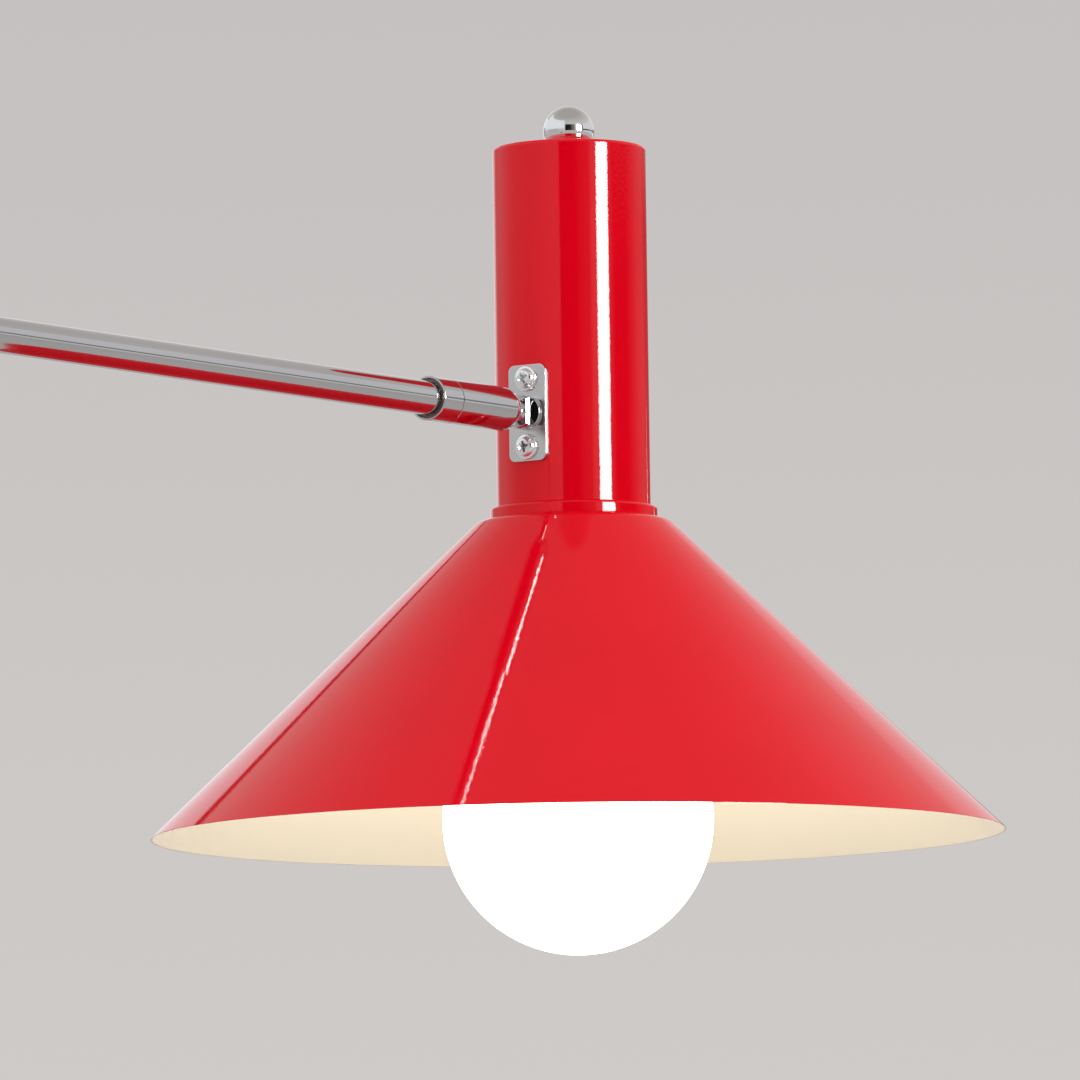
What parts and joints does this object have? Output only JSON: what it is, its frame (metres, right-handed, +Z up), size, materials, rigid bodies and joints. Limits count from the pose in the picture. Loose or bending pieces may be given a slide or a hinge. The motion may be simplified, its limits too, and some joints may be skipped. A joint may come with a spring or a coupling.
{
  "type": "desk lamp",
  "caption": "Counterbalanced desk lamp: conical gloss shade and slim housing on a ball joint, long chrome arm with a sliding weight, forked stem, round weighted base.",
  "frame": {"origin": "centre of the base's underside, on the table", "axes": "+Z up along the stem; +X along the arm from the stem to the lamp head; +Y completes the right-handed frame"},
  "size_m": [0.951, 0.3, 0.6711],
  "materials": {
    "red_lacquer": "gloss",
    "bright_chrome": "polished",
    "zinc_steel": "satin",
    "raw_iron": "matte",
    "black_rubber": "matte",
    "white_nylon": "satin",
    "porcelain": "gloss",
    "holder_plastic": "satin",
    "contact_brass": "satin",
    "lead_sheath": "satin",
    "black_plastic": "matte",
    "opal_glass": "gloss",
    "cap_nickel": "satin",
    "led_white": "matte"
  },
  "bodies": {
    "base": {"base_pad": "black_rubber", "base_plate": "zinc_steel", "base_plate_screws": "zinc_steel", "base_weight": "raw_iron", "base_shell": "red_lacquer", "stem_flange": "bright_chrome", "stem_tube": "bright_chrome", "stem_plug": "zinc_steel", "stem_washer": "zinc_steel", "stem_nut": "zinc_steel", "swivel_bush": "white_nylon", "cable_gland": "black_rubber", "terminal_block": "white_nylon", "stem_lead": "lead_sheath"},
    "yoke": {"fork": "bright_chrome", "swivel_clip": "zinc_steel", "pivot_bolt": "bright_chrome", "friction_washers": "black_plastic", "knob_spring": "zinc_steel"},
    "tilt_knob": {"tilt_knob": "bright_chrome"},
    "arm": {"arm_block": "bright_chrome", "block_grub": "zinc_steel", "arm_tube": "bright_chrome", "arm_end_ball": "bright_chrome", "arm_spigot": "zinc_steel", "socket_collar": "bright_chrome", "arm_lead": "lead_sheath"},
    "counterweight": {"counterweight": "red_lacquer"},
    "weight_screw": {"weight_screw": "bright_chrome"},
    "socket": {"socket_body": "bright_chrome", "seat_pad": "white_nylon", "seat_springs": "zinc_steel", "preload_plug": "zinc_steel", "swivel_grub": "zinc_steel"},
    "ball_liner": {"ball_liner": "white_nylon"},
    "head": {"ball_stud": "bright_chrome", "bracket_plate": "bright_chrome", "plate_screws": "bright_chrome", "mount_bracket": "zinc_steel", "housing": "red_lacquer", "collar_ring": "red_lacquer", "shade": "red_lacquer", "shade_ring_nut": "holder_plastic", "lamp_holder": "porcelain", "holder_thread_shell": "contact_brass", "holder_contact": "contact_brass", "holder_nipple": "zinc_steel", "nipple_nut": "zinc_steel", "switch_body": "black_plastic", "switch_nuts": "zinc_steel", "head_leads": "lead_sheath", "bulb_globe": "opal_glass", "bulb_cap": "cap_nickel", "bulb_insulator": "black_plastic", "bulb_contact": "cap_nickel", "led_core": "led_white"},
    "switch": {"switch_knob": "bright_chrome", "switch_shaft": "zinc_steel"}
  },
  "joints": [
    {"name": "stem_swivel", "type": "hinge", "parent": "base", "child": "yoke", "pos_m": [0, 0, 0.515], "axis": [0, 0, 1], "range_deg": [-170, 170]},
    {"name": "arm_tilt", "type": "hinge", "parent": "yoke", "child": "arm", "pos_m": [0, 0, 0.545], "axis": [0, 1, 0], "range_deg": [-50, 40]},
    {"name": "tilt_knob_turn", "type": "hinge", "parent": "yoke", "child": "tilt_knob", "pos_m": [0, 0.02, 0.545], "axis": [0, 1, 0], "range_deg": [0, 270]},
    {"name": "counterweight_slide", "type": "slide", "parent": "arm", "child": "counterweight", "axis": [1, 0, 0], "range_m": [-0.02, 0.06]},
    {"name": "weight_screw_turn", "type": "hinge", "parent": "counterweight", "child": "weight_screw", "pos_m": [-0.25, 0, 0.594], "axis": [0, 0, 1], "range_deg": [0, 180]},
    {"name": "head_roll", "type": "hinge", "parent": "arm", "child": "socket", "pos_m": [0.42, 0, 0.56], "axis": [1, 0, 0], "range_deg": [-170, 170]},
    {"name": "head_swing", "type": "hinge", "parent": "socket", "child": "ball_liner", "pos_m": [0.425, 0, 0.56], "axis": [0, 0, 1], "range_deg": [-18, 18]},
    {"name": "head_tilt", "type": "hinge", "parent": "ball_liner", "child": "head", "pos_m": [0.425, 0, 0.56], "axis": [0, 1, 0], "range_deg": [-18, 18]},
    {"name": "knob_turn", "type": "hinge", "parent": "head", "child": "switch", "pos_m": [0.47, 0, 0.662], "axis": [0, 0, 1], "range_deg": [0, 270]}
  ]
}
